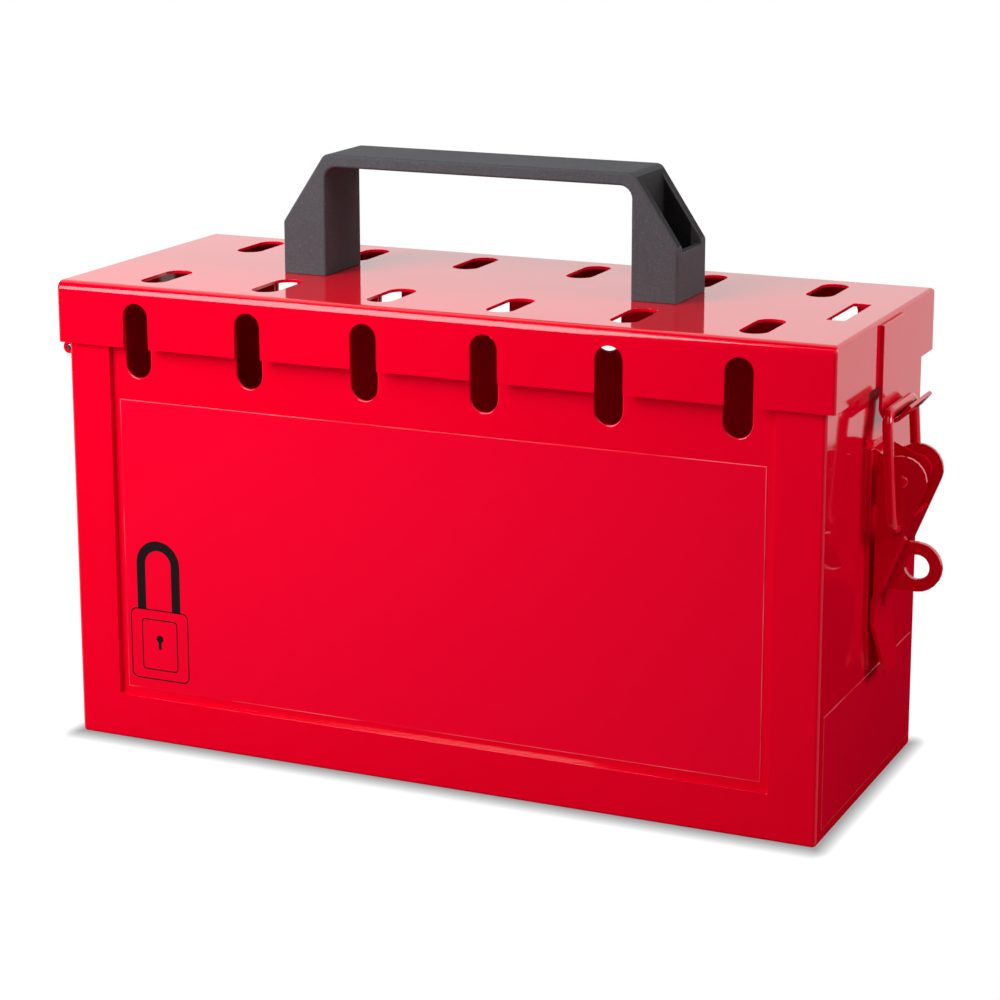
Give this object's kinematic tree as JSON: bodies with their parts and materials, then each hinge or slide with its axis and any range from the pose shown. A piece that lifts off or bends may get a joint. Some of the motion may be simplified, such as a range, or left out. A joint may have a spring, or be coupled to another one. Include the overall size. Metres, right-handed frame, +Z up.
{
  "type": "group lockout box",
  "caption": "Portable steel group lockout box: slotted hinged lid with a carry handle and key slot, recessed panels, and an over-centre latch with a padlock eye.",
  "frame": {"origin": "middle of the underside of the box body", "axes": "+X along the length from the hinge end to the latch end, -Y towards the front, +Z up"},
  "size_m": [0.2799, 0.103, 0.1915],
  "materials": {
    "red_paint": "gloss red powder coat",
    "black_nylon": "fine-textured charcoal nylon",
    "zinc_steel": "zinc-plated",
    "label_film": "bare glossy film"
  },
  "bodies": {
    "box": {"body_shell": "red_paint", "front_panel": "red_paint", "back_panel": "red_paint", "hinge_body_leaf": "red_paint", "hinge_pin": "zinc_steel", "latch_base": "red_paint", "padlock_eye": "red_paint", "latch_rivet_1": "red_paint", "latch_rivet_2": "red_paint", "latch_rivet_3": "red_paint", "lever_pin": "red_paint", "front_label": "label_film", "end_label": "label_film"},
    "lid": {"lid_shell": "red_paint", "hinge_lid_leaf": "red_paint", "carry_handle": "black_nylon", "handle_screw_left": "zinc_steel", "handle_washer_left": "zinc_steel", "handle_nut_left": "zinc_steel", "handle_screw_right": "zinc_steel", "handle_washer_right": "zinc_steel", "handle_nut_right": "zinc_steel", "keeper": "red_paint"},
    "lever": {"latch_lever": "red_paint"},
    "bail": {"bail": "red_paint"}
  },
  "joints": [
    {"name": "lid_hinge", "type": "hinge", "parent": "box", "child": "lid", "pos_m": [-0.1296, 0, 0.1292], "axis": [0, -1, 0], "range_deg": [0, 180]},
    {"name": "lever_hinge", "type": "hinge", "parent": "box", "child": "lever", "pos_m": [0.1374, 0.003, 0.1031], "axis": [0, -1, 0], "range_deg": [0, 78]},
    {"name": "bail_hinge", "type": "hinge", "parent": "lever", "child": "bail", "pos_m": [0.1362, 0.003, 0.088], "axis": [0, -1, 0], "range_deg": [-52, 0]}
  ],
  "couplings": [
    {"joint": "bail_hinge", "follows": "lever_hinge", "ratio": -0.66}
  ]
}
